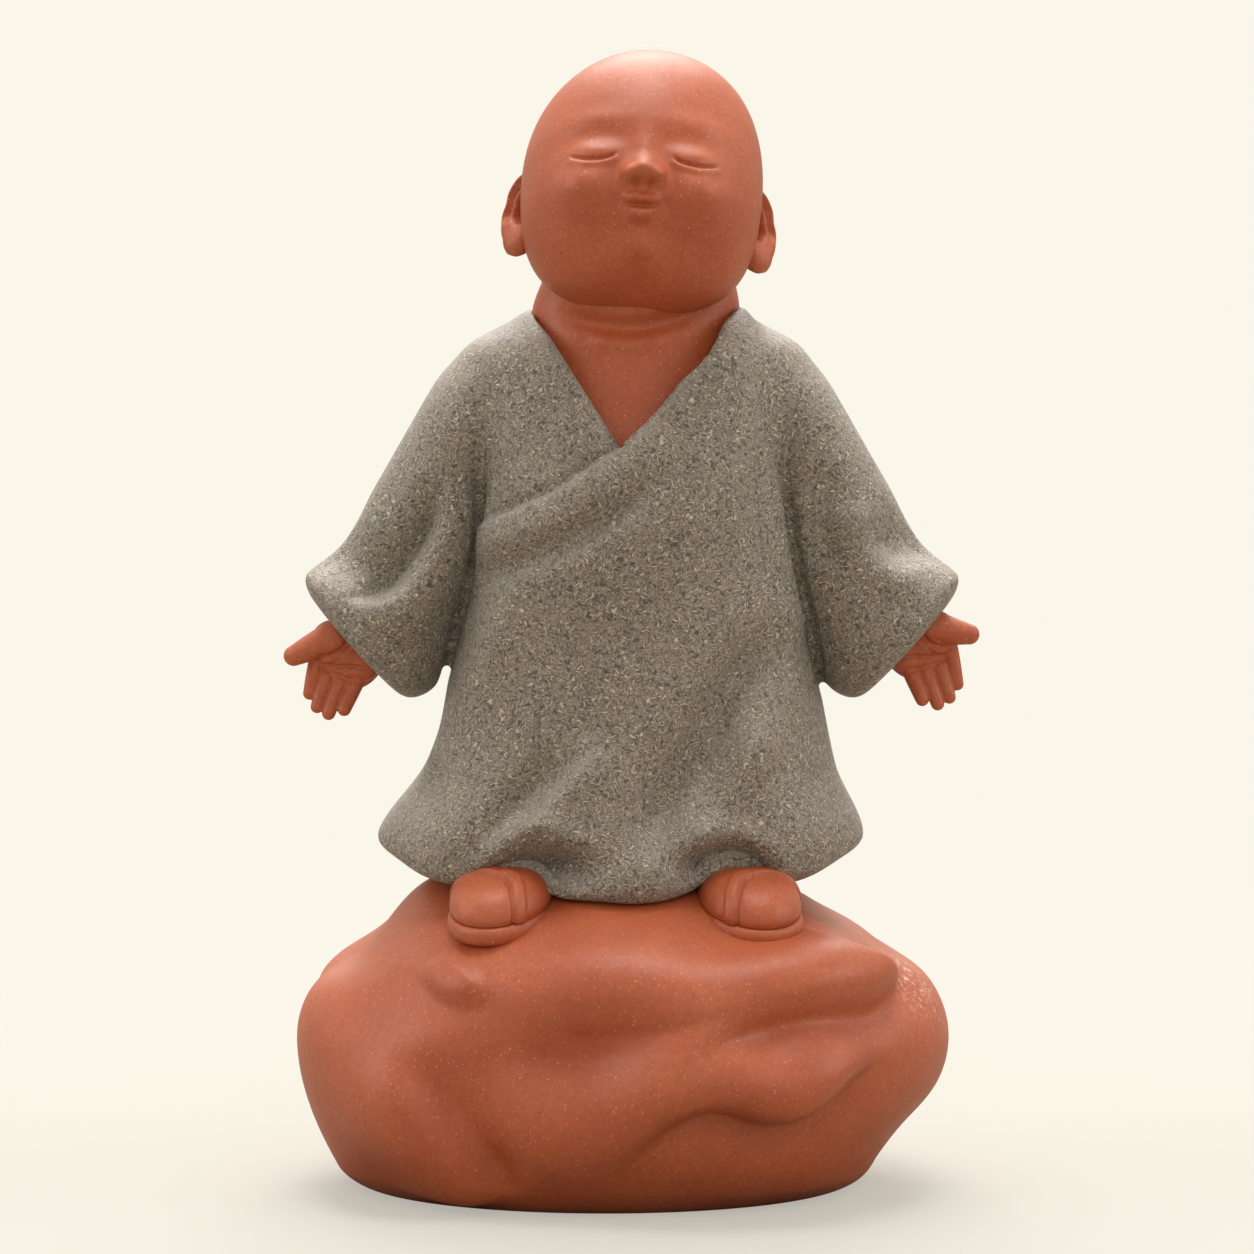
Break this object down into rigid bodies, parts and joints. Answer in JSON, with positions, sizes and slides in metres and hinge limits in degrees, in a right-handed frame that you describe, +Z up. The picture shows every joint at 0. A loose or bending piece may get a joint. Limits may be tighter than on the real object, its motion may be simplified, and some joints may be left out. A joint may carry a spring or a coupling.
{
  "type": "monk tea pet figurine",
  "caption": "Unglazed clay figurine of a small monk in a wrapped robe, arms open and face raised, standing on a hollow boulder; sits on a tea tray.",
  "frame": {"origin": "on the surface that the boulder stands on, under the middle of the object", "axes": "+Z up, the figure faces -Y, and the figure's own left hand is at +X"},
  "size_m": [0.0836, 0.0707, 0.1365],
  "materials": {
    "red_clay": "unglazed red stoneware, burnished to a soft sheen, with fine pale grit",
    "grey_clay": "unglazed grey-brown stoneware with a dense fleck of light and dark grog, matt"
  },
  "bodies": {
    "root": {"rock_base": "red_clay", "left_shoe_sole": "red_clay", "left_shoe_upper": "red_clay", "right_shoe_sole": "red_clay", "right_shoe_upper": "red_clay", "robe_body": "grey_clay", "neck_and_chest": "red_clay", "head": "red_clay", "left_ear": "red_clay", "right_ear": "red_clay", "left_sleeve": "grey_clay", "right_sleeve": "grey_clay", "left_hand": "red_clay", "right_hand": "red_clay"}
  },
  "joints": []
}
